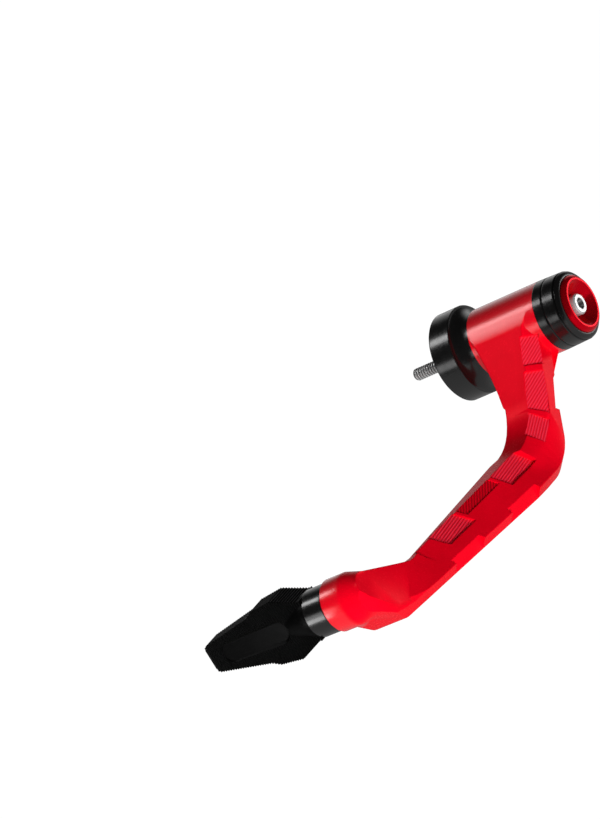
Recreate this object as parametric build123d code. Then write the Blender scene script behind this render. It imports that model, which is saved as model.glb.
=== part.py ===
from build123d import *
import math
import os

os.makedirs("parts", exist_ok=True)

# Driving dimensions in mm and degrees. A share is a part of the length it is multiplied with.
# X runs along the boss axis, outboard is +X. The arm reaches towards -Y. +Z is up.
# The origin is the centre of the spacer's rear face, which seats on the handlebar end.

# Boss and web.
boss_diameter = 34.0
boss_length = 37.8
bore_diameter = 6.6
web_angle = 42.0
web_length = 50.0
web_root_thickness = 20.0
web_bend_thickness = 15.5
web_thin_start = 12.0
web_thin_end = 60.0
web_straight_share = 0.8
web_outboard = 34.0
web_fillet_out = 3.6
web_fillet_rise = 7.0
fill_share = 0.58
fill_inset = 0.5
fill_set_back = 7.0
fill_top_shares = (-0.75, 0.66)
fill_mid_shares = (-0.38, 1.02)

# Arm in the side view.
reach = 192.5
arm_top_drop = 17.9
arm_top_slope = 0.14
arm_bottom_slope = 0.19
arm_thickness = 19.0
arm_level_share = 0.57
inner_bend_reach = 16.0
outer_bend_reach = 10.0
edge_facet = 4.8
bend_facet_growth = 2.0

# Arm across, measured from the inboard face of the boss.
inboard_curve = 1.6
inboard_bend = 13.2
inboard_turn = 0.6
inboard_far = 1.0
crest_root = 30.0
crest_runout = 7.0
crest_bend = 26.4
crest_turn = 1.5
crest_far = 2.0
outboard_far = 9.2
outboard_slope = 0.2513
flank_share = 0.45

# End block and stub.
far_share = 0.78
top_knee_share = 0.81
top_knee_radius = 14.0
bottom_knee_share = 0.96
bottom_knee_radius = 10.0
knee_radius = 40.0
knee_low_share = 0.945
knee_low_out = 10.2
knee_low_rise = 2.8
block_share = 0.933
block_out = 8.4
block_end_out = 6.0
gusset_share = 0.92
gusset_depth = 13.0
stub_diameter = 24.0
stub_setback = 16.4
stub_edge = 1.0
end_step = 2.3
stub_taper_start = -6.0
stub_taper_end = 2.0

# Milled pockets: where they start and end along the web, through the bend and along the reach.
pocket_depth = 0.9
pocket_clearance = 8.0
pocket_overrun = 0.12
root_pocket_start = 11.0
root_pocket_end = 25.0
web_pocket_start = 28.0
web_pocket_turn = 0.12
bend_pocket_start = 0.20
bend_pocket_end = 0.62
arm_pocket_shares = ((0.36, 0.465), (0.615, 0.715))
band_shares = (0.475, 0.605)
band_depth = 0.45
scallop_rise = 3.2
web_scallop_rise = 0.4
web_scallop_start = 29.0
web_scallop_end = 46.0
arm_scallop_shares = ((0.44, 0.55), (0.66, 0.77))

# Spacer, end cap and insert.
spacer_overhang = 4.5
spacer_length = 19.2
spacer_rim = 11.6
spacer_step = 0.6
spacer_land = 1.0
relief_depth = 1.6
relief_rim = 3.5
relief_hub_diameter = 16.0
cap_length = 14.0
cap_taper = 1.0
cap_edge_radius = 2.0
cap_wall = 3.2
cap_groove_width = 0.8
cap_groove_depth = 0.8
cap_groove_shares = (0.33, 0.80)
insert_seat = 6.0
insert_proud = 2.4
insert_floor = 1.0
lip_radius = 2.2
dish_floor = 2.2
head_clearance = 0.4

# Screw.
screw_diameter = 6.0
shank_diameter = 5.4
screw_free_length = 24.5
screw_chamfer = 0.7
screw_head_diameter = 10.0
screw_head_height = 6.0
head_edge = 0.7
hex_across_flats = 5.0
hex_depth = 3.0

# Collar, tip and stud.
collar_diameter = 22.0
collar_length = 10.5
collar_chamfer = 0.5
tip_length = 58.5
tip_width = 30.0
tip_neck_width = 20.4
tip_end_width = 13.0
tip_thickness = 14.5
tip_thinning = 0.2
tip_end_radius = 2.5
tip_edge_radius = 1.5
tip_turn = 10.0
cone_step = 0.6
cone_land = 2.0
cone_share = 0.34
cone_end_share = 0.36
rib_pitch = 1.25
rib_depth = 0.35
rib_shares = (0.25, 0.75)
slot_length_share = 0.62
slot_width_share = 0.30
slot_middle_share = 0.55
slot_depth = 2.0
slot_draft = 35.0
stud_diameter = 8.0
stud_depth = 12.0
stud_tip_depth = 13.5
stud_end_gap = 0.5

BIG = 400.0
boss_radius = boss_diameter / 2
stub_radius = stub_diameter / 2
boss_face = spacer_length
cap_face = boss_face + boss_length


def at(x, out, drop):
    """A point given from the boss's inboard face: along X, out along the reach, and down."""
    return Vector(boss_face + x, -out, -drop)


def outward(a, b, c, inside):
    """The normal of the plane a, b, c that points away from the point inside."""
    normal = (b - a).cross(c - a).normalized()
    return normal * -1 if normal.dot(inside - a) > 0 else normal


def beyond(a, direction):
    """A large block that starts at the point a and runs along the direction."""
    plane = Plane(origin=a, z_dir=direction)
    return plane * Box(BIG, BIG, BIG / 2, align=(Align.CENTER, Align.CENTER, Align.MIN))


def half_space(a, b, c, inside):
    """A large block on the far side of the plane a, b, c from the point inside."""
    return beyond(a, outward(a, b, c, inside))


def tube(diameter, start, end):
    """A cylinder along X between two stations measured from the origin."""
    plane = Plane(origin=(start, 0, 0), x_dir=(0, 1, 0), z_dir=(1, 0, 0))
    return plane * Cylinder(diameter / 2, end - start, align=(Align.CENTER, Align.CENTER, Align.MIN))


def turned(points):
    """A solid turned about the X axis from (station, radius) points."""
    outline = make_face(Polyline(*[(x, r, 0) for x, r in points], close=True))
    return revolve(outline, Axis.X)


def side_face(points):
    """A face in the side view from (out, drop) points."""
    return make_face(Polyline(*[(-out, -drop) for out, drop in points], close=True))


def plan_face(points):
    """A face in the plan view from (x from the boss's inboard face, out) points."""
    return make_face(Polyline(*[(boss_face + x, -out) for x, out in points], close=True))


# Side view of the arm, (out, drop) from the boss axis.
web = math.radians(web_angle)
web_run = (math.cos(web), math.sin(web))
web_up = (math.sin(web), -math.cos(web))


def top_drop(out):
    return arm_top_drop - arm_top_slope * (out - arm_level_share * reach)


def bottom_drop(out):
    return arm_top_drop + arm_thickness - arm_bottom_slope * (out - arm_level_share * reach)


def web_line(offset, along):
    return (offset * web_up[0] + along * web_run[0], offset * web_up[1] + along * web_run[1])


def meeting(start, run, line, slope):
    """Where a line from start along run crosses the top or bottom line of the arm."""
    along = (line(start[0]) - start[1]) / (run[1] + slope * run[0])
    return (start[0] + along * run[0], start[1] + along * run[1])


def tangent_to_stub(point, side, radius):
    run = (reach - point[0], -point[1])
    gap = math.hypot(*run)
    heading = math.atan2(run[1], run[0]) + side * math.asin(radius / gap)
    return (reach - side * radius * math.sin(heading), side * radius * math.cos(heading))


tangent = web_line(boss_radius, 0)
under_root = web_line(boss_radius - web_root_thickness, web_thin_start)
under_bend = web_line(boss_radius - web_bend_thickness, web_thin_end)
under_length = math.dist(under_root, under_bend)
under_run = ((under_bend[0] - under_root[0]) / under_length, (under_bend[1] - under_root[1]) / under_length)
inner_bend = meeting(tangent, web_run, top_drop, arm_top_slope)
outer_bend = meeting(under_root, under_run, bottom_drop, arm_bottom_slope)
end_radius = stub_radius - end_step
top_knee = (top_knee_share * reach, top_drop(top_knee_share * reach))
bottom_knee = (bottom_knee_share * reach, bottom_drop(bottom_knee_share * reach))
top_touch = tangent_to_stub(top_knee, -1, end_radius)
bottom_touch = tangent_to_stub(bottom_knee, 1, end_radius)

# End block: its side view and its plan view, and a gusset behind it that backs the stub.
far_start = far_share * reach
side = side_face([inner_bend, top_knee, top_touch, (reach, 0), bottom_touch, bottom_knee, outer_bend])
for corner, radius in ((top_knee, top_knee_radius), (bottom_knee, bottom_knee_radius)):
    vertex = side.vertices().sort_by_distance((-corner[0], -corner[1], 0))[0]
    side = fillet(vertex, radius)
side = side + Pos(-reach, 0) * Circle(end_radius)
side_solid = extrude(Plane.YZ * side, amount=BIG / 2, both=True)

block_start = block_share * reach
gusset_start = gusset_share * reach
plan = plan_face(
    [
        (inboard_far, far_start),
        (0, gusset_start),
        (0, reach + stub_radius),
        (block_end_out, reach + stub_radius / 2),
        (block_out, reach),
        (outboard_far, block_start),
        (outboard_far + outboard_slope * (block_start - far_start), far_start),
    ]
)
block_end = reach + stub_radius
gusset_front = [(-gusset_depth, gusset_start), (-gusset_depth, block_end)]
gusset = plan_face([(crest_far, far_start)] + gusset_front + [(crest_far, block_end)])
far_end = side_solid & (extrude(plan, amount=BIG / 2, both=True) + extrude(gusset, amount=-BIG / 4))


# Cross-sections of the web and the arm, from the boss to the far end. Each has a top face, an upper facet,
# an outboard face, a lower facet, a bottom and an inboard side.
def along_line(start, end, share):
    return (start[0] + share * (end[0] - start[0]), start[1] + share * (end[1] - start[1]))


def bend_point(corner, run_in, run_out, bend_reach, share):
    """A point on the rounded corner between two straight runs of the side view."""
    start = (corner[0] - run_in[0] * bend_reach, corner[1] - run_in[1] * bend_reach)
    end = (corner[0] + run_out[0] * bend_reach, corner[1] + run_out[1] * bend_reach)
    return along_line(along_line(start, corner, share), along_line(corner, end, share), share)


def edges_at(top, bottom, inboard, crest, outboard, share, band):
    """The six edge points of one cross-section between a top and a bottom point of the side view."""
    thickness = math.dist(top, bottom)
    facet_low = along_line(bottom, top, edge_facet / thickness)
    facet_high = along_line(top, bottom, band / thickness)
    return [
        at(inboard, *top),
        at(crest, *top),
        at(crest + share * (outboard - crest), *facet_high),
        at(outboard, *facet_low),
        at(outboard - edge_facet, *bottom),
        at(inboard, *bottom),
    ]


def web_station(along):
    thinning = (web_root_thickness - web_bend_thickness) / (web_thin_end - web_thin_start)
    under = boss_radius - web_root_thickness + thinning * (along - web_thin_start)
    inboard = inboard_bend * (1 - (1 - along / web_length) ** inboard_curve)
    crest = crest_root - (crest_root - crest_bend) * along / web_length
    crest = crest + (web_outboard - crest_root) * max(1 - along / crest_runout, 0)
    top, bottom = web_line(boss_radius, along), web_line(under, along)
    return edges_at(top, bottom, inboard, crest, web_outboard, 1, edge_facet)


def bend_station(share):
    top_angle, bottom_angle = math.atan(arm_top_slope), math.atan(arm_bottom_slope)
    top_run = (math.cos(top_angle), -math.sin(top_angle))
    bottom_run = (math.cos(bottom_angle), -math.sin(bottom_angle))
    top = bend_point(inner_bend, web_run, top_run, inner_bend_reach, share)
    bottom = bend_point(outer_bend, under_run, bottom_run, outer_bend_reach, share)
    inboard = inboard_bend - inboard_turn * share
    crest = crest_bend - crest_turn * share
    facet_share = 1 - (1 - flank_share) * share
    band = edge_facet + bend_facet_growth * share
    return edges_at(top, bottom, inboard, crest, web_outboard, facet_share, band)


def arm_station(out):
    top, bottom = (out, top_drop(out)), (out, bottom_drop(out))
    way = (out - inner_bend[0]) / (far_start - inner_bend[0])
    inboard = inboard_bend - (inboard_bend - inboard_far) * way
    crest = crest_bend - (crest_bend - crest_far) * way
    outboard = min(web_outboard, outboard_far + outboard_slope * (block_start - out))
    band = flank_share * (bottom[1] - top[1] - edge_facet)
    return edges_at(top, bottom, inboard, crest, outboard, flank_share, band)


web_steps = 6
bend_steps = 7
web_straight = web_straight_share * web_length
arm_shares = (0.22, 0.32, 0.6, 1.0)
web_stations = [web_station(i / web_steps * web_straight) for i in range(web_steps + 1)]
bend_stations = [bend_station(i / bend_steps) for i in range(bend_steps + 1)]
arm_stations = [arm_station(inner_bend[0] + t * (far_start - inner_bend[0])) for t in arm_shares]
stations = web_stations + bend_stations + arm_stations
body = loft([make_face(Polyline(*points, close=True)) for points in stations], ruled=True)

# The flank of the arm turns into the outer face of the end block through a rounded valley.
knee_top = arm_stations[-1][1]
knee_low = at(knee_low_out, knee_low_share * reach, bottom_drop(knee_low_share * reach) - knee_low_rise)
stub_top = at(inboard_far, reach - stub_radius / 2, -end_radius)
inside_arm = (arm_stations[2][0] + arm_stations[2][4]) * 0.5
inside_block = at(-BIG, reach, 0)
flank_normal = outward(knee_top, arm_stations[-1][3], arm_stations[-2][2], inside_arm)
block_normal = outward(knee_top, knee_low, stub_top, inside_block)
valley = knee_top + (flank_normal + block_normal) * (knee_radius / (1 + flank_normal.dot(block_normal)))
knee_steps = 5
cut_off = beyond(knee_top, flank_normal)
for i in range(knee_steps + 1):
    normal = (flank_normal * (1 - i / knee_steps) + block_normal * (i / knee_steps)).normalized()
    cut_off = cut_off & beyond(valley - normal * knee_radius, normal)
arm_bottom = half_space(arm_stations[2][3], arm_stations[3][3], arm_stations[2][4], inside_arm)
far_end = far_end - cut_off - arm_bottom

boss = tube(boss_diameter, boss_face, cap_face)
stub_start = boss_face - stub_setback
taper_start, taper_end = boss_face + stub_taper_start, boss_face + stub_taper_end
stub_front = [(stub_start, 0), (stub_start, stub_radius - stub_edge), (stub_start + stub_edge, stub_radius)]
stub_taper = [(taper_start, stub_radius), (taper_end, end_radius), (taper_end, 0)]
stub = Pos(0, -reach, 0) * turned(stub_front + stub_taper)

# Rounded fill between the underside of the boss and the underside of the web.
fill_points = web_station(fill_share * web_length)
fill_top = web_line(*[share * boss_radius for share in fill_top_shares])
fill_mid = web_line(*[share * boss_radius for share in fill_mid_shares])
fill_low = (-fill_points[4].Y, -fill_points[4].Z)
high_point, mid_point, low_point = [(-out, -drop) for out, drop in (fill_top, fill_mid, fill_low)]
fill_line = Polyline(low_point, (0, 0), high_point)
fill_face = make_face(fill_line + ThreePointArc(high_point, mid_point, low_point))
fill = extrude(Plane.YZ.offset(boss_face + fill_inset) * fill_face, amount=boss_length - 2 * fill_inset)
inside_fill = at(web_outboard / 2, *fill_mid)
fill_back = at(web_outboard - fill_set_back, *fill_top)
fill_outer = half_space(fill_back, fill_points[4], fill_points[3], inside_fill)
fill_inner = half_space(at(fill_inset, *fill_top), fill_points[5], fill_points[0], inside_fill)

# Concave fillet between the boss and the outboard face of the web.
ring_start = boss_face + web_outboard
ring_end = ring_start + web_fillet_out
ring_radius = boss_radius + web_fillet_rise
arc_share = 1 - math.sqrt(0.5)
ring_line = Polyline((ring_start, ring_radius), (ring_start, 0), (ring_end, 0), (ring_end, boss_radius))
ring_arc = ThreePointArc(
    (ring_end, boss_radius),
    (ring_start + arc_share * web_fillet_out, boss_radius + arc_share * web_fillet_rise),
    (ring_start, ring_radius),
)
ring_low = web_line(boss_radius - web_root_thickness + edge_facet, ring_radius)
web_side = side_face([tangent, web_line(boss_radius, ring_radius), ring_low, (0, 0)])
ring = revolve(make_face(ring_line + ring_arc), Axis.X)
ring = ring & extrude(Plane.YZ * web_side, amount=BIG / 2, both=True)
arm = body + far_end + boss + stub + ring + (fill - fill_outer - fill_inner)


# Milled pockets in the upper facet, and scallops that widen the lower facet.
def milled(left, right, depth):
    """A cutter over the facet between two lines of edge points, one on each side of it."""
    run = (left[1] - left[0] + right[1] - right[0]) * 0.5
    across = (right[0] - left[0] + right[1] - left[1]) * 0.5
    middle = (left[0] + right[0] + left[1] + right[1]) * 0.25
    normal = across.cross(run).normalized()
    if normal.X < 0:
        normal = normal * -1
    plane = Plane(origin=middle - normal * depth, x_dir=run, z_dir=normal)
    spread = across * pocket_overrun
    corners = [left[0] - spread, left[1] - spread, right[1] + spread, right[0] + spread]
    flat = [plane.to_local_coords(corner) for corner in corners]
    outline = make_face(Polyline(*[(point.X, point.Y) for point in flat], close=True))
    return extrude(plane * outline, amount=depth + pocket_clearance)


def scallop(first, last, first_rise):
    """A cutter that takes off the edge between the flank and the lower facet."""
    top_first = first[3] + (first[2] - first[3]).normalized() * first_rise
    top_last = last[3] + (last[2] - last[3]).normalized() * scallop_rise
    return milled((top_first, top_last), (first[4], last[4]), 0)


def arm_stretch(shares):
    return arm_station(shares[0] * reach), arm_station(shares[1] * reach)


upper_pockets = [
    (web_station(root_pocket_start), web_station(root_pocket_end)),
    (web_station(web_pocket_start), bend_station(web_pocket_turn)),
    (bend_station(bend_pocket_start), bend_station(bend_pocket_end)),
    arm_stretch(arm_pocket_shares[0]),
    arm_stretch(arm_pocket_shares[1]),
]
for first, last in upper_pockets:
    arm = arm - milled((first[1], last[1]), (first[2], last[2]), pocket_depth)
first, last = arm_stretch(band_shares)
arm = arm - milled((first[1], last[1]), ((first[1] + first[2]) * 0.5, (last[1] + last[2]) * 0.5), band_depth)
arm = arm - scallop(web_station(web_scallop_start), web_station(web_scallop_end), web_scallop_rise)
for shares in arm_scallop_shares:
    arm = arm - scallop(*arm_stretch(shares), scallop_rise)

stud_bore = Pos(0, -reach, 0) * tube(stud_diameter, stub_start, stub_start + stud_depth)
guard_arm = arm - tube(bore_diameter, boss_face, cap_face) - stud_bore
export_step(guard_arm, "parts/guard_arm.step")

# Spacer between the boss and the handlebar end, coved up to its full diameter, its rear face relieved.
spacer_radius = boss_radius + spacer_overhang
neck_radius = boss_radius - spacer_step
cove_end = spacer_length - spacer_land
cove_steps = 5
cove_turns = [i / cove_steps * math.pi / 2 for i in range(1, cove_steps + 1)]
neck = [(spacer_length, 0), (spacer_length, neck_radius), (cove_end, neck_radius)]
cove_run, cove_rise = cove_end - spacer_rim, spacer_radius - neck_radius
cove = [(cove_end - cove_run * math.sin(t), neck_radius + cove_rise * (1 - math.cos(t))) for t in cove_turns]
rear = [(spacer_step, spacer_radius), (0, spacer_radius - spacer_step), (0, 0)]
relief = tube(2 * (spacer_radius - relief_rim), -1, relief_depth)
relief = relief - tube(relief_hub_diameter, -1, relief_depth)
bar_end_spacer = turned(neck + cove + rear) - relief - tube(bore_diameter, -1, spacer_length + 1)
export_step(bar_end_spacer, "parts/bar_end_spacer.step")


def rounded_edge(x, radius, edge, steps):
    """Profile points of a rounded outer edge at the front of a turned piece."""
    turns = [math.pi / 2 * i / steps for i in range(steps + 1)]
    return [(x - edge + edge * math.sin(t), radius - edge + edge * math.cos(t)) for t in turns]


# End cap with two V-grooves, its front opened for the dished insert.
cap_front = cap_face + cap_length
seat_floor = cap_front - insert_seat
insert_radius = boss_radius - cap_wall
cap_edge_steps = 3
cap_rim = rounded_edge(cap_front, boss_radius - cap_taper / 2, cap_edge_radius, cap_edge_steps)
cap_line = [(cap_face, bore_diameter / 2), (cap_face, boss_radius)]
for share in cap_groove_shares:
    x = cap_face + share * cap_length
    radius = boss_radius - share * cap_taper / 2
    groove_floor = (x + cap_groove_width / 2, radius - cap_groove_depth)
    cap_line = cap_line + [(x, radius), groove_floor, (x + cap_groove_width, radius)]
seat_line = [(cap_front, insert_radius), (seat_floor, insert_radius), (seat_floor, bore_diameter / 2)]
end_cap = turned(cap_line + cap_rim + seat_line)
export_step(end_cap, "parts/end_cap.step")

# Dished insert with a rounded lip. The screw head sits in its floor.
insert_front = cap_front + insert_proud
head_seat = seat_floor + insert_floor
lip_steps = 4
lip = rounded_edge(insert_front, insert_radius, lip_radius, lip_steps)
inner_lip = [(x, 2 * (insert_radius - lip_radius) - r) for x, r in reversed(lip)][1:-1]
well_radius = head_clearance + screw_head_diameter / 2
well = [(head_seat + dish_floor, well_radius), (head_seat, well_radius), (head_seat, 0)]
insert_body = turned([(seat_floor, 0), (seat_floor, insert_radius)] + lip + inner_lip + well)
cap_insert = insert_body - tube(bore_diameter, seat_floor - 1, head_seat + 1)
export_step(cap_insert, "parts/cap_insert.step")

# Hex-socket screw through the stack, its free end bare behind the spacer.
head_front = head_seat + screw_head_height
head = tube(screw_head_diameter, head_seat, head_front)
crown = head.edges().filter_by(GeomType.CIRCLE).sort_by(Axis.X)[-1]
head = chamfer(crown, head_edge)
socket_plane = Plane(origin=(head_front - hex_depth, 0, 0), x_dir=(0, 1, 0), z_dir=(1, 0, 0))
socket = extrude(socket_plane * RegularPolygon(hex_across_flats / math.sqrt(3), 6), amount=hex_depth + 1)
thread = tube(screw_diameter, -screw_free_length, 0)
tail = thread.edges().filter_by(GeomType.CIRCLE).sort_by(Axis.X)[0]
thread = chamfer(tail, screw_chamfer)
clamp_screw = head + tube(shank_diameter, 0, head_seat) + thread - socket
export_step(clamp_screw, "parts/clamp_screw.step")

# Collar between the stub and the tip.
collar_start = stub_start - collar_length
collar = tube(collar_diameter, collar_start, stub_start)
collar_edge = collar.edges().filter_by(GeomType.CIRCLE).sort_by(Axis.X)[0]
collar = chamfer(collar_edge, collar_chamfer) - tube(stud_diameter, collar_start - 1, stub_start + 1)
tip_collar = Pos(0, -reach, 0) * collar
export_step(tip_collar, "parts/tip_collar.step")

# Tip: a flared paddle, ribbed across its length, with a dished slot on both faces.
# Its outline is given as shares of the length and half widths.
tip_start = collar_start
tip_outline = [
    (0.0, tip_neck_width / 2),
    (0.03, tip_neck_width / 2),
    (0.24, tip_width / 2),
    (0.44, 0.46 * tip_width),
    (0.51, 0.39 * tip_width),
    (1.0, tip_end_width / 2),
]


def rounded_off(half, run, radius):
    """A half width, less what a rounded end takes off it near the end of the tip."""
    left = radius - (tip_length - run)
    if left <= 0:
        return half
    return half - radius + math.sqrt(max(radius**2 - left**2, 0))


def plan_half(run):
    """Half width of the tip at a distance from the collar."""
    half = tip_end_width / 2
    for (s0, w0), (s1, w1) in zip(tip_outline, tip_outline[1:]):
        if s0 <= run / tip_length <= s1:
            half = w0 + (w1 - w0) * (run / tip_length - s0) / (s1 - s0)
    return rounded_off(half, run, tip_end_radius)


def edge_half(run):
    """Half thickness of the tip at a distance from the collar."""
    return rounded_off(tip_thickness / 2 * (1 - tip_thinning * run / tip_length), run, tip_edge_radius)


def ribbed(half):
    """Outline with a rib on every pitch, closed across the middle."""
    count = int(tip_length / rib_pitch)
    line = []
    for i in range(count):
        for share, depth in zip(rib_shares, (0, rib_depth)):
            run = (i + share) * tip_length / count
            line.append((run, half(run) - depth))
    line = [(0, line[0][1])] + line + [(tip_length, line[-1][1])]
    upper = [(tip_start - run, w) for run, w in line]
    lower = [(tip_start - run, -w) for run, w in reversed(line)]
    return make_face(Polyline(*(upper + lower), close=True))


tip = extrude(ribbed(plan_half), amount=tip_thickness, both=True)
tip = tip & extrude(Plane.XZ * ribbed(edge_half), amount=tip_width, both=True)
cone_radius = collar_diameter / 2 - cone_step
cone_end = tip_start - cone_share * tip_length
cone_line = [(tip_start, 0), (tip_start, cone_radius), (tip_start - cone_land, cone_radius)]
tip = tip + turned(cone_line + [(cone_end, cone_end_share * tip_thickness), (cone_end, 0)])
slot_middle = Pos(tip_start - slot_middle_share * tip_length, 0)
slot = slot_middle * SlotOverall(slot_length_share * tip_length, slot_width_share * tip_width)
slot_floor = Plane.XY.offset(tip_thickness / 2 - slot_depth)
slot_cutter = extrude(slot_floor * slot, amount=tip_thickness, taper=-slot_draft)
tip = tip - slot_cutter - Rot(180, 0, 0) * slot_cutter
tip = tip - tube(stud_diameter, tip_start - stud_tip_depth - stud_end_gap, tip_start + 1)
guard_tip = Pos(0, -reach, 0) * Rot(90 - tip_turn, 0, 0) * tip
export_step(guard_tip, "parts/guard_tip.step")

# Hidden stud that holds the collar and the tip on the stub.
stud = tube(stud_diameter, tip_start - stud_tip_depth, stub_start + stud_depth - stud_end_gap)
tip_stud = Pos(0, -reach, 0) * stud
export_step(tip_stud, "parts/tip_stud.step")
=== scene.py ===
import math

import bmesh
import bpy
from mathutils import Matrix, Vector


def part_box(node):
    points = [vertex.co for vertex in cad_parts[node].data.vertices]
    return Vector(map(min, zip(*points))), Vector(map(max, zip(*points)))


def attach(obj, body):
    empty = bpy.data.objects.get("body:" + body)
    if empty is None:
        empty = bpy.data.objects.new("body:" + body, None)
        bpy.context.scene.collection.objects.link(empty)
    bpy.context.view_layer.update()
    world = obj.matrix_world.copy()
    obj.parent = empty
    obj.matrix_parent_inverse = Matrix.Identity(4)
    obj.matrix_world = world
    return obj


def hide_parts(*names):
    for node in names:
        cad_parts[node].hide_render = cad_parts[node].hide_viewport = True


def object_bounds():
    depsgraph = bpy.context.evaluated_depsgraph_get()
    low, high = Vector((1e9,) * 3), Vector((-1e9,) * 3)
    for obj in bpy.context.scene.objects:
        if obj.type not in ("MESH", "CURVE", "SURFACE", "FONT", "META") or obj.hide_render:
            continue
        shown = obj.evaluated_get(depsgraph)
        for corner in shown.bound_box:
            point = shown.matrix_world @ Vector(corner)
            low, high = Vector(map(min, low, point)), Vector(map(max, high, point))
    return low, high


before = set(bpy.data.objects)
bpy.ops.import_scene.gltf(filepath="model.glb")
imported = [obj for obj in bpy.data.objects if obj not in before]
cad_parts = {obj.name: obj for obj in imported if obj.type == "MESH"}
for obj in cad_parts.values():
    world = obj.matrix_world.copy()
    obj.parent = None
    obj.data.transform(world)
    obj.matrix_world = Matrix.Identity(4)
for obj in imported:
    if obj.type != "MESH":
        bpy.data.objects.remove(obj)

cad_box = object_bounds()
MM = 0.001

# View, taken from the photograph: a long lens, tilted so that the boss axis runs up to the right.
IMAGE_HEIGHT_PX = 819
FOCAL_LENGTH_PX = 4500
SENSOR_HEIGHT_MM = 24.0
VIEW_AZIMUTH = 36.22
VIEW_ELEVATION = 19.13
VIEW_ROLL = -37.33
VIEW_AIM = Vector((-20.96, -94.07, 48.42)) * MM
VIEW_DISTANCE = 2007.2 * MM
VIEW_CLIP_END = 100

# Finishes: linear colours, the range of the roughness, and the noise scales of colour and roughness.
RED = (0.94, 0.0006, 0.014, 1.0)
RED_DEEP = (0.86, 0.0005, 0.012, 1.0)
# Painted sheen: a pale pink striped onto the ridges of the cutter marks in the pockets.
RED_PAINTED_SHEEN = (0.96, 0.035, 0.075, 1.0)
# Painted shade: a dark red striped over the band pocket, where the arm lies in shadow.
RED_SHADE = (0.35, 0.001, 0.006, 1.0)
RED_ROUGHNESS = (0.22, 0.28)
RED_GRAIN = (60, 900)
RED_IOR = 1.6
RED_SPECULAR = 0.02
ARM_METALLIC = 0.05
INSERT_METALLIC = 0.85
BLACK = (0.0035, 0.0035, 0.0035, 1.0)
BLACK_WORN = (0.005, 0.005, 0.005, 1.0)
BLACK_ROUGHNESS = (0.20, 0.25)
BLACK_GRAIN = (80, 300)
BLACK_IOR = 1.7
PLASTIC = (0.0012, 0.0012, 0.0012, 1.0)
PLASTIC_WORN = (0.002, 0.002, 0.002, 1.0)
PLASTIC_ROUGHNESS = (0.36, 0.44)
PLASTIC_GRAIN = (120, 700)
PLASTIC_IOR = 1.25
PLASTIC_SPECULAR = 0.2
STEEL = (0.80, 0.80, 0.80, 1.0)
STEEL_DULL = (0.66, 0.66, 0.66, 1.0)
# Painted shade for the roots of the thread and the socket.
STEEL_ROOT_SHADE = (0.05, 0.05, 0.05, 1.0)
STEEL_ROUGHNESS = (0.26, 0.34)
STEEL_GRAIN = (300, 900)
STEEL_METALLIC = 0.6
COLOUR_DETAIL = 3.0
ROUGHNESS_DETAIL = 2.0
NOISE_LOW = 0.35
NOISE_HIGH = 0.65

# Edges: how far the shading rounds them, and the angle in degrees above which an edge stays sharp.
METAL_EDGE = 0.7 * MM
PLASTIC_EDGE = 0.2 * MM
EDGE_SAMPLES = 8
SHARP_ANGLE = 40
ARM_SHARP_ANGLE = 28
THREAD_SHARP_ANGLE = 32
JOIN_DISTANCE = 0.002 * MM

# Clear lustre on the turned surfaces of the arm: a centre, the axes to measure along, and a radius.
BOSS_LUSTRE = ((0, 0, 0), (0, 1, 1), 17.1 * MM)
STUB_LUSTRE = ((4 * MM, -192.5 * MM, 0), (1, 1, 1), 14.5 * MM)
LUSTRE_FADE = 1.0 * MM
LUSTRE_ROUGHNESS = 0.25
LUSTRE_IOR = 1.7

# Screw thread. Its free end starts where the spacer's rear face lies, at X = 0.
SCREW_AXIS = ((0, 0, 0), (0, 1, 1))
THREAD_RADIUS = 3.0 * MM
THREAD_ROOT_RADIUS = 2.45 * MM
THREAD_PITCH = 1.4 * MM
THREAD_CHAMFER = 0.7 * MM
THREAD_CREST = 0.3
THREAD_FLANK_SLOPE = 2.6
THREAD_TURN_STEPS = 40
THREAD_PITCH_STEPS = 8
FREE_END_MARGIN = 0.01 * MM

# Milled pockets of the arm: a material, points in mm on the floors, the direction across the cutter marks,
# and the colour painted on the ridges between them: a pale pink painted sheen, and on the band pocket
# painted shade.
POCKETS = (
    ("red_web_pockets", ((49.95, -22.68, -1.68), (49.16, -37.53, -14.45)), (0.47, -0.04, -0.88), RED_PAINTED_SHEEN),
    ("red_bend_pocket", ((47.62, -52.59, -24.46),), (0.65, 0.15, -0.75), RED_PAINTED_SHEEN),
    ("red_arm_pockets", ((41.37, -79.34, -26.25), (29.48, -127.96, -18.99)), (0.42, -0.12, -0.90), RED_PAINTED_SHEEN),
    # Band pocket: its ridges are striped with painted shade.
    ("red_band_pocket", ((34.23, -103.92, -20.66),), (0.76, 0.31, -0.57), RED_SHADE),
)
POCKET_MARK_PITCH = 1.25 * MM
POCKET_MARK_DEPTH = 0.22 * MM
POCKET_REACH = 15 * MM
POCKET_FLATNESS = 0.05 * MM
POCKET_PARALLEL = 0.999
OFF_PLANE_WEIGHT = 20

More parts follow.
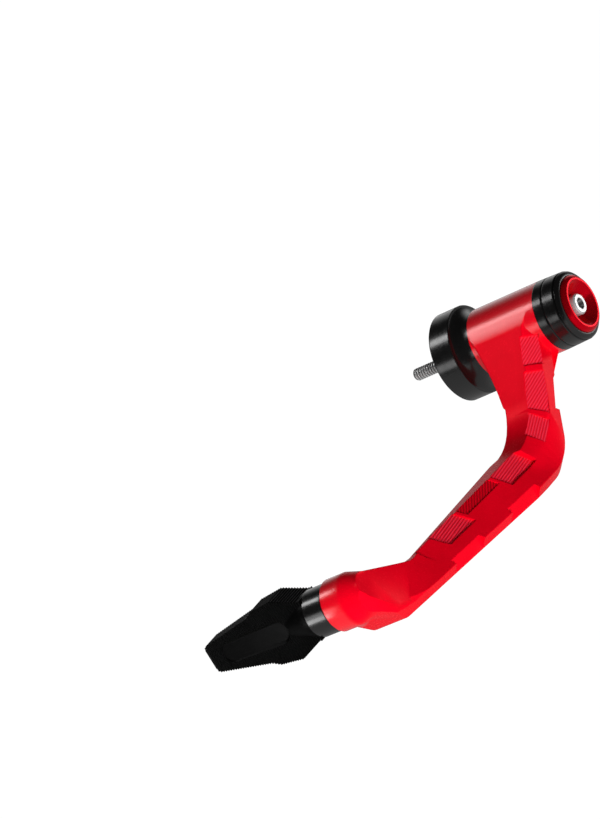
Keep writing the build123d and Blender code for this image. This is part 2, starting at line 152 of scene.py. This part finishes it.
# Lamps: the point in mm that each one faces, the direction it stands in, its distance and size in metres,
# the light that it gives off per area, and whether reflections show it.
ARM_MIDDLE = (30, -90, -20)
BOSS_MIDDLE = (38, 0, 0)
CAP_MIDDLE = (70, 0, 0)
STUB_MIDDLE = (3, -192, 0)
LAMPS = (
    ("front_key", ARM_MIDDLE, (0.62, -0.76, -0.16), 1.6, (0.8, 0.8), 26.0, False),
    ("top_fill", ARM_MIDDLE, (-0.2, 0.3, 0.93), 1.2, (0.6, 0.6), 1.0, False),
    ("boss_strip", BOSS_MIDDLE, (-0.558, -0.126, 0.82), 2.0, (0.6, 0.45), 6.5, True),
    ("cap_strip", CAP_MIDDLE, (-0.558, -0.81, 0.19), 2.0, (0.6, 0.5), 2.2, True),
    ("stub_strip", STUB_MIDDLE, (-0.567, -0.82, -0.02), 0.12, (0.035, 0.03), 6.0, True),
    ("side_card", CAP_MIDDLE, (0.56, 0.76, -0.33), 0.8, (0.22, 0.22), 3.2, True),
)

# Surroundings: the cosine to the direction behind the part over which they turn from dark to bright.
SKY_DARK = 0.02
SKY_BRIGHT = 1.0
SKY_DARK_COSINE = 0.55
SKY_BRIGHT_COSINE = 0.95
FLOOR_SIZE = 8
FLOOR_DROP = 0.30
FLOOR_GREY = (0.9, 0.9, 0.9, 1.0)
FLOOR_ROUGHNESS = 0.9
FLOOR_GLOW_SHARE = 0.9
FLOOR_LIGHT = 0.33
FLOOR_SEEN_LIGHT = 1.12


def view_axes():
    """Right, up and towards-the-viewer directions of the photograph's camera."""
    azimuth = math.radians(VIEW_AZIMUTH)
    elevation = math.radians(VIEW_ELEVATION)
    roll = math.radians(VIEW_ROLL)
    level_right = Vector((math.cos(azimuth), math.sin(azimuth), 0))
    level_back = Vector((math.sin(azimuth), -math.cos(azimuth), 0))
    back = level_back * math.cos(elevation) + Vector((0, 0, math.sin(elevation)))
    level_up = back.cross(level_right)
    right = math.cos(roll) * level_right + math.sin(roll) * level_up
    return right, back.cross(right), back


def add_camera():
    """The photograph's camera."""
    right, up, back = view_axes()
    data = bpy.data.cameras.new("camera")
    data.sensor_fit = "VERTICAL"
    data.sensor_height = SENSOR_HEIGHT_MM
    data.lens = FOCAL_LENGTH_PX * SENSOR_HEIGHT_MM / IMAGE_HEIGHT_PX
    data.clip_end = VIEW_CLIP_END
    camera = bpy.data.objects.new("camera", data)
    turn = Matrix((right, up, back)).transposed()
    camera.matrix_world = Matrix.Translation(VIEW_AIM + back * VIEW_DISTANCE) @ turn.to_4x4()
    bpy.context.scene.collection.objects.link(camera)
    bpy.context.scene.camera = camera


def new_material(name):
    """A material with its nodes, its links and its shader."""
    material = bpy.data.materials.new(name)
    material.use_nodes = True
    nodes = material.node_tree.nodes
    return material, nodes, material.node_tree.links, nodes["Principled BSDF"]


def vary(nodes, links, scale, detail, low, high):
    """A number that wanders from low to high over the part's surface, the same in every view."""
    place = nodes.new("ShaderNodeTexCoord")
    texture = nodes.new("ShaderNodeTexNoise")
    texture.inputs["Scale"].default_value = scale
    texture.inputs["Detail"].default_value = detail
    links.new(place.outputs["Object"], texture.inputs["Vector"])
    spread = nodes.new("ShaderNodeMapRange")
    spread.inputs["From Min"].default_value = NOISE_LOW
    spread.inputs["From Max"].default_value = NOISE_HIGH
    spread.inputs["To Min"].default_value = low
    spread.inputs["To Max"].default_value = high
    links.new(texture.outputs["Fac"], spread.inputs["Value"])
    return spread.outputs["Result"]


def colour_mix(nodes, links, factor):
    """A mix of two colours, still to be set, by a factor."""
    mix = nodes.new("ShaderNodeMix")
    mix.data_type = "RGBA"
    links.new(factor, mix.inputs["Factor"])
    return mix


def grained(nodes, links, shader, colours, roughness, grain):
    """Varies the roughness over the surface, and returns a colour that varies too."""
    colour_scale, roughness_scale = grain
    links.new(vary(nodes, links, roughness_scale, ROUGHNESS_DETAIL, *roughness), shader.inputs["Roughness"])
    mix = colour_mix(nodes, links, vary(nodes, links, colour_scale, COLOUR_DETAIL, 0.0, 1.0))
    mix.inputs["A"].default_value = colours[0]
    mix.inputs["B"].default_value = colours[1]
    return mix.outputs["Result"]


def round_edges(nodes, links, shader, radius):
    """Softly rounded edges, by the normals alone."""
    rounded = nodes.new("ShaderNodeBevel")
    rounded.samples = EDGE_SAMPLES
    rounded.inputs["Radius"].default_value = radius
    links.new(rounded.outputs["Normal"], shader.inputs["Normal"])


def distance_from(nodes, links, centre, axes):
    """How far the surface lies from a centre, measured along these axes alone."""
    place = nodes.new("ShaderNodeTexCoord")
    offset = nodes.new("ShaderNodeVectorMath")
    offset.operation = "SUBTRACT"
    offset.inputs[1].default_value = centre
    links.new(place.outputs["Object"], offset.inputs[0])
    flat = nodes.new("ShaderNodeVectorMath")
    flat.operation = "MULTIPLY"
    flat.inputs[1].default_value = axes
    links.new(offset.outputs["Vector"], flat.inputs[0])
    reach = nodes.new("ShaderNodeVectorMath")
    reach.operation = "LENGTH"
    links.new(flat.outputs["Vector"], reach.inputs[0])
    return reach.outputs["Value"]


def lustre(nodes, links, centre, axes, radius):
    """1 on a turned surface, 0 on the milled faces away from it."""
    near = nodes.new("ShaderNodeMapRange")
    near.inputs["From Min"].default_value = radius
    near.inputs["From Max"].default_value = radius + LUSTRE_FADE
    near.inputs["To Min"].default_value = 1.0
    near.inputs["To Max"].default_value = 0.0
    links.new(distance_from(nodes, links, centre, axes), near.inputs["Value"])
    return near.outputs["Result"]


def add_lustre(nodes, links, shader):
    """A clear coat on the round surfaces of the boss and the stub."""
    both = nodes.new("ShaderNodeMath")
    both.operation = "MAXIMUM"
    links.new(lustre(nodes, links, *BOSS_LUSTRE), both.inputs[0])
    links.new(lustre(nodes, links, *STUB_LUSTRE), both.inputs[1])
    links.new(both.outputs["Value"], shader.inputs["Coat Weight"])
    shader.inputs["Coat Roughness"].default_value = LUSTRE_ROUGHNESS
    shader.inputs["Coat IOR"].default_value = LUSTRE_IOR


def red_base(name, metallic):
    """Red anodised aluminium whose colour is still to be linked."""
    material, nodes, links, shader = new_material(name)
    colour = grained(nodes, links, shader, (RED_DEEP, RED), RED_ROUGHNESS, RED_GRAIN)
    shader.inputs["Metallic"].default_value = metallic
    shader.inputs["IOR"].default_value = RED_IOR
    shader.inputs["Specular IOR Level"].default_value = RED_SPECULAR
    return material, nodes, links, shader, colour


def red_anodised(name, metallic, with_lustre):
    """Smooth red anodised aluminium."""
    material, nodes, links, shader, colour = red_base(name, metallic)
    links.new(colour, shader.inputs["Base Color"])
    round_edges(nodes, links, shader, METAL_EDGE)
    if with_lustre:
        add_lustre(nodes, links, shader)
    return material


def red_pocket(name, direction, stripe_painted_light):
    """Red anodised aluminium with cutter marks: bumped ridges across a direction, with painted light on
    them in a second colour, pale for a painted sheen and dark for painted shade.
    """
    material, nodes, links, shader, colour = red_base(name, ARM_METALLIC)
    place = nodes.new("ShaderNodeTexCoord")
    along = nodes.new("ShaderNodeVectorMath")
    along.operation = "DOT_PRODUCT"
    along.inputs[1].default_value = Vector(direction).normalized() / POCKET_MARK_PITCH
    links.new(place.outputs["Object"], along.inputs[0])
    wave = nodes.new("ShaderNodeMath")
    wave.operation = "PINGPONG"
    wave.inputs[1].default_value = 0.5
    links.new(along.outputs["Value"], wave.inputs[0])
    height = nodes.new("ShaderNodeMath")
    height.operation = "MULTIPLY"
    height.inputs[1].default_value = 2.0
    links.new(wave.outputs["Value"], height.inputs[0])
    # Painted light: the ridges are striped with the second colour on top of the real bump.
    stripe = colour_mix(nodes, links, height.outputs["Value"])
    links.new(colour, stripe.inputs["A"])
    stripe.inputs["B"].default_value = stripe_painted_light
    links.new(stripe.outputs["Result"], shader.inputs["Base Color"])
    relief = nodes.new("ShaderNodeBump")
    relief.inputs["Distance"].default_value = POCKET_MARK_DEPTH
    links.new(height.outputs["Value"], relief.inputs["Height"])
    links.new(relief.outputs["Normal"], shader.inputs["Normal"])
    return material


def black_anodised(name):
    """Satin black anodised aluminium."""
    material, nodes, links, shader = new_material(name)
    colour = grained(nodes, links, shader, (BLACK, BLACK_WORN), BLACK_ROUGHNESS, BLACK_GRAIN)
    links.new(colour, shader.inputs["Base Color"])
    shader.inputs["IOR"].default_value = BLACK_IOR
    round_edges(nodes, links, shader, METAL_EDGE)
    return material


def tip_plastic(name):
    """Matt black plastic."""
    material, nodes, links, shader = new_material(name)
    colour = grained(nodes, links, shader, (PLASTIC, PLASTIC_WORN), PLASTIC_ROUGHNESS, PLASTIC_GRAIN)
    links.new(colour, shader.inputs["Base Color"])
    shader.inputs["IOR"].default_value = PLASTIC_IOR
    shader.inputs["Specular IOR Level"].default_value = PLASTIC_SPECULAR
    round_edges(nodes, links, shader, PLASTIC_EDGE)
    return material


def screw_steel(name):
    """Bright steel with painted shade: darker near the screw axis, in the roots of the thread and in the
    socket.
    """
    material, nodes, links, shader = new_material(name)
    colour = grained(nodes, links, shader, (STEEL_DULL, STEEL), STEEL_ROUGHNESS, STEEL_GRAIN)
    shader.inputs["Metallic"].default_value = STEEL_METALLIC
    # Painted shade: the colour darkens from the thread's crest radius in to its root radius, and stays dark
    # nearer the axis.
    crest = nodes.new("ShaderNodeMapRange")
    crest.inputs["From Min"].default_value = THREAD_ROOT_RADIUS
    crest.inputs["From Max"].default_value = THREAD_RADIUS
    links.new(distance_from(nodes, links, *SCREW_AXIS), crest.inputs["Value"])
    mix = colour_mix(nodes, links, crest.outputs["Result"])
    mix.inputs["A"].default_value = STEEL_ROOT_SHADE
    links.new(colour, mix.inputs["B"])
    links.new(mix.outputs["Result"], shader.inputs["Base Color"])
    return material


def assign(node, material):
    """Gives a CAD node one material."""
    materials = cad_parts[node].data.materials
    materials.clear()
    materials.append(material)


def shade_by_angle(obj, degrees):
    """Smooth shading over shallow edges; the modifiers join the faces and part them at the sharp ones."""
    if "custom_normal" in obj.data.attributes:
        obj.data.attributes.remove(obj.data.attributes["custom_normal"])
    obj.data.shade_smooth()
    weld = obj.modifiers.new("weld", "WELD")
    weld.merge_threshold = JOIN_DISTANCE
    split = obj.modifiers.new("sharp_edges", "EDGE_SPLIT")
    split.split_angle = math.radians(degrees)
    split.use_edge_sharp = False


def face_distance(face, spot):
    """How far a face lies from a spot, counting mostly the distance off its plane."""
    gap = face.center - spot
    return OFF_PLANE_WEIGHT * abs(gap.dot(face.normal)) + gap.length


def mark_pockets(places, material):
    """Gives the flat pocket floors at these places their own material."""
    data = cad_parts["guard_arm"].data
    data.materials.append(material)
    index = len(data.materials) - 1
    for place in places:
        spot = Vector(place) * MM
        floor = min(data.polygons, key=lambda face: face_distance(face, spot))
        for face in data.polygons:
            flush = abs((face.center - floor.center).dot(floor.normal)) < POCKET_FLATNESS
            parallel = face.normal.dot(floor.normal) > POCKET_PARALLEL
            near = (face.center - spot).length < POCKET_REACH
            if flush and parallel and near:
                face.material_index = index


def thread_radius(along, turn):
    """Radius of the thread at a length from the screw's tip and a share of a turn."""
    phase = (along / THREAD_PITCH + turn) % 1.0
    flank = abs(phase - 0.5) * THREAD_FLANK_SLOPE - THREAD_CREST
    depth = (THREAD_RADIUS - THREAD_ROOT_RADIUS) * min(max(flank, 0.0), 1.0)
    return min(THREAD_RADIUS - depth, THREAD_RADIUS - THREAD_CHAMFER + along)


def add_thread(mesh, tip):
    """A closed helical thread from the tip to X = 0."""
    length = -tip
    ring_count = round(length / THREAD_PITCH * THREAD_PITCH_STEPS)
    rings = []
    for i in range(ring_count + 1):
        along = length * i / ring_count
        ring = []
        for j in range(THREAD_TURN_STEPS):
            turn = j / THREAD_TURN_STEPS
            radius = thread_radius(along, turn)
            angle = turn * math.tau
            ring.append(mesh.verts.new((tip + along, radius * math.cos(angle), radius * math.sin(angle))))
        rings.append(ring)
    for ring, following in zip(rings, rings[1:]):
        for j in range(THREAD_TURN_STEPS):
            k = (j + 1) % THREAD_TURN_STEPS
            mesh.faces.new((ring[j], ring[k], following[k], following[j]))
    mesh.faces.new(list(reversed(rings[0])))
    mesh.faces.new(rings[-1])


def threaded_screw():
    """The clamp screw with a cut thread on its free end; its head and shank are those of the CAD node."""
    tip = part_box("clamp_screw")[0].x
    mesh = bmesh.new()
    mesh.from_mesh(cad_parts["clamp_screw"].data)
    bmesh.ops.remove_doubles(mesh, verts=mesh.verts, dist=JOIN_DISTANCE)
    free_end = [face for face in mesh.faces if face.calc_center_median().x < FREE_END_MARGIN]
    bmesh.ops.delete(mesh, geom=free_end, context="FACES")
    add_thread(mesh, tip)
    bmesh.ops.recalc_face_normals(mesh, faces=mesh.faces)
    data = bpy.data.meshes.new("clamp_screw_threaded")
    mesh.to_mesh(data)
    mesh.free()
    screw = bpy.data.objects.new("clamp_screw_threaded", data)
    bpy.context.scene.collection.objects.link(screw)
    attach(screw, "root")
    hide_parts("clamp_screw")
    return screw


def add_lamp(name, target, direction, distance, size, radiance, in_reflections):
    """A soft box that faces a target, its width along the boss axis."""
    width, height = size
    data = bpy.data.lights.new(name, "AREA")
    data.shape = "RECTANGLE"
    data.size = width
    data.size_y = height
    data.energy = radiance * math.pi * width * height
    lamp = bpy.data.objects.new(name, data)
    towards = Vector(direction).normalized()
    across = (Vector((1, 0, 0)) - towards * towards.x).normalized()
    turn = Matrix((across, towards.cross(across), towards)).transposed()
    lamp.matrix_world = Matrix.Translation(Vector(target) * MM + towards * distance) @ turn.to_4x4()
    lamp.visible_camera = False
    lamp.visible_glossy = in_reflections
    bpy.context.scene.collection.objects.link(lamp)


def camera_switch(nodes, links, seen, otherwise):
    """A number that is one value to the camera itself and another to all other light."""
    path = nodes.new("ShaderNodeLightPath")
    switch = nodes.new("ShaderNodeMix")
    links.new(path.outputs["Is Camera Ray"], switch.inputs["Factor"])
    switch.inputs["A"].default_value = otherwise
    switch.inputs["B"].default_value = seen
    return switch


def add_world():
    """White to the camera; for the part, bright behind and dark in front."""
    world = bpy.data.worlds.new("studio")
    world.use_nodes = True
    bpy.context.scene.world = world
    nodes = world.node_tree.nodes
    links = world.node_tree.links
    sky = nodes["Background"]
    sky.inputs["Color"].default_value = (1, 1, 1, 1)
    place = nodes.new("ShaderNodeTexCoord")
    behind = nodes.new("ShaderNodeVectorMath")
    behind.operation = "DOT_PRODUCT"
    behind.inputs[1].default_value = -view_axes()[2]
    links.new(place.outputs["Generated"], behind.inputs[0])
    bright = nodes.new("ShaderNodeMapRange")
    bright.inputs["From Min"].default_value = SKY_DARK_COSINE
    bright.inputs["From Max"].default_value = SKY_BRIGHT_COSINE
    bright.inputs["To Min"].default_value = SKY_DARK
    bright.inputs["To Max"].default_value = SKY_BRIGHT
    links.new(behind.outputs["Value"], bright.inputs["Value"])
    strength = camera_switch(nodes, links, SKY_BRIGHT, SKY_DARK)
    links.new(bright.outputs["Result"], strength.inputs["A"])
    links.new(strength.outputs["Result"], sky.inputs["Strength"])


def add_floor():
    """A pale floor well below the part, white to the camera but for the part's own soft shadow."""
    bpy.ops.mesh.primitive_plane_add(size=FLOOR_SIZE, location=(0, 0, cad_box[0][2] - FLOOR_DROP))
    floor = bpy.context.object
    floor.name = "floor"
    material, nodes, links, shader = new_material("floor_white")
    shader.inputs["Base Color"].default_value = FLOOR_GREY
    shader.inputs["Roughness"].default_value = FLOOR_ROUGHNESS
    glow = nodes.new("ShaderNodeEmission")
    strength = camera_switch(nodes, links, FLOOR_SEEN_LIGHT, FLOOR_LIGHT)
    links.new(strength.outputs["Result"], glow.inputs["Strength"])
    mix = nodes.new("ShaderNodeMixShader")
    mix.inputs["Fac"].default_value = FLOOR_GLOW_SHARE
    links.new(shader.outputs["BSDF"], mix.inputs[1])
    links.new(glow.outputs["Emission"], mix.inputs[2])
    links.new(mix.outputs["Shader"], nodes["Material Output"].inputs["Surface"])
    floor.data.materials.append(material)


add_camera()
add_world()
add_floor()
for lamp_values in LAMPS:
    add_lamp(*lamp_values)

black = black_anodised("black_anodised")
steel = screw_steel("screw_steel")
assign("guard_arm", red_anodised("red_anodised", ARM_METALLIC, True))
assign("cap_insert", red_anodised("red_insert", INSERT_METALLIC, False))
assign("bar_end_spacer", black)
assign("end_cap", black)
assign("tip_collar", black)
assign("guard_tip", tip_plastic("tip_plastic"))
assign("tip_stud", steel)
assign("clamp_screw", steel)
for pocket_name, floors, marks, stripe_painted_light_colour in POCKETS:
    mark_pockets(floors, red_pocket(pocket_name, marks, stripe_painted_light_colour))

for node, node_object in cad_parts.items():
    shade_by_angle(node_object, ARM_SHARP_ANGLE if node == "guard_arm" else SHARP_ANGLE)
threaded = threaded_screw()
threaded.data.materials.append(steel)
shade_by_angle(threaded, THREAD_SHARP_ANGLE)

bpy.context.scene.view_settings.view_transform = "Standard"
